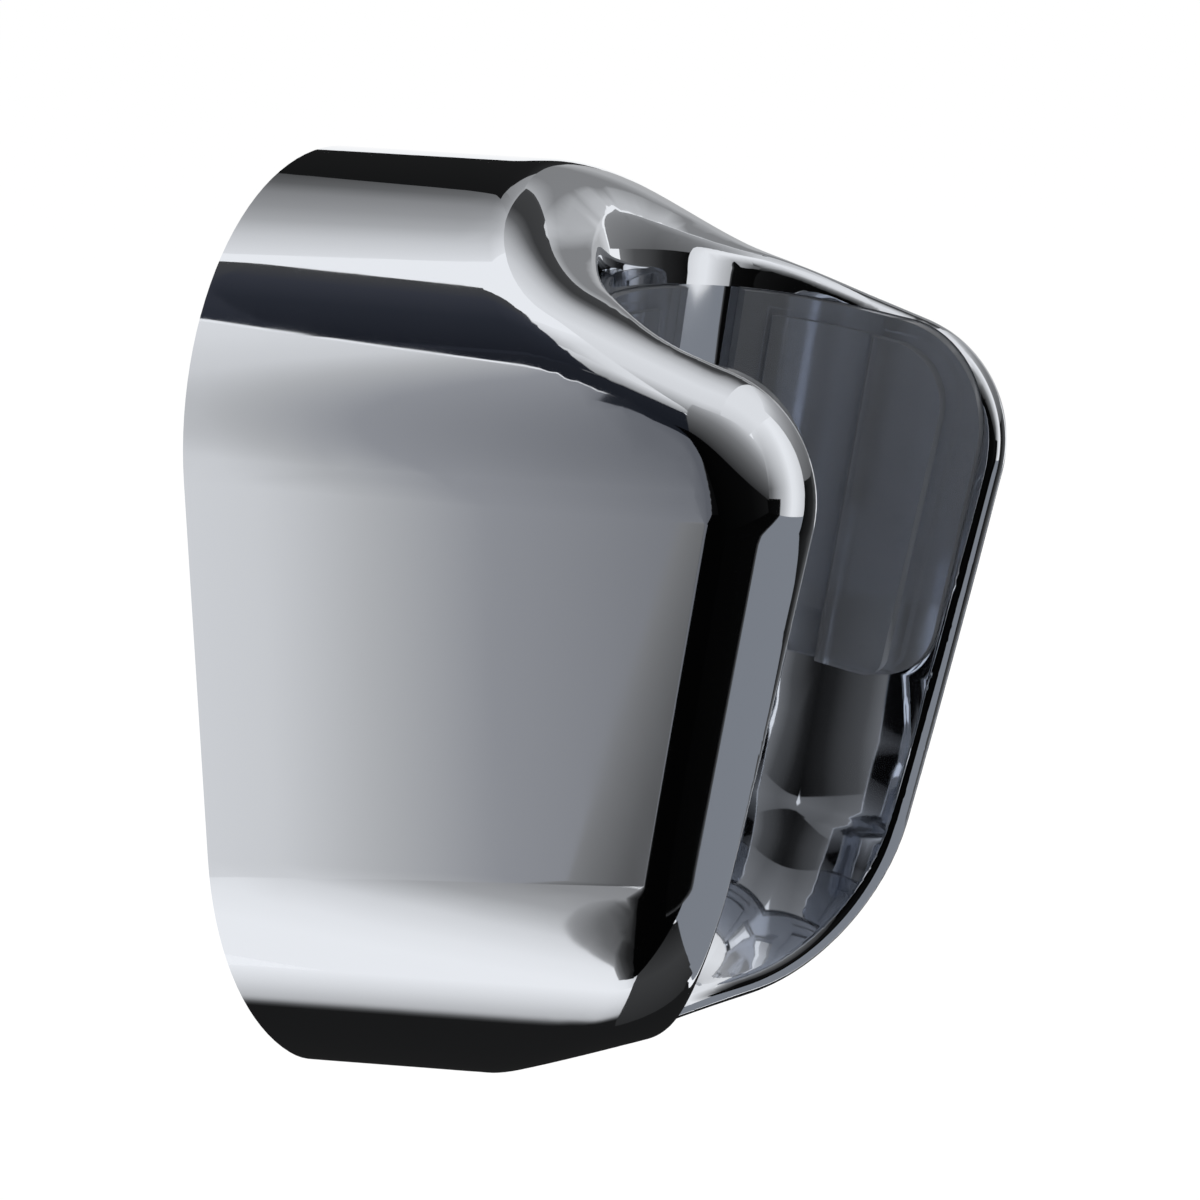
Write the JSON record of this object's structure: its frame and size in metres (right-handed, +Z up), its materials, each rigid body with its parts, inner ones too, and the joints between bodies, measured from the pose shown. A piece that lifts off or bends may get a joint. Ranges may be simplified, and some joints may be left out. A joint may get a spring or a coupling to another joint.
{
  "type": "hand shower holder",
  "caption": "Chromed wall holder for a hand shower: an egg-shaped body with a leaning tapered bore open at the front, a rounded lip and a clear plastic liner.",
  "frame": {"origin": "midway between the two wall screws, on the wall plane", "axes": "+Y into the wall, +Z up, +X to the right as seen from the room"},
  "size_m": [0.0356, 0.0423, 0.0604],
  "materials": {
    "chrome_body": "polished",
    "clear_plastic": "clear, glossy"
  },
  "bodies": {
    "root": {"holder_body": "chrome_body", "clear_liner": "clear_plastic"}
  },
  "joints": []
}
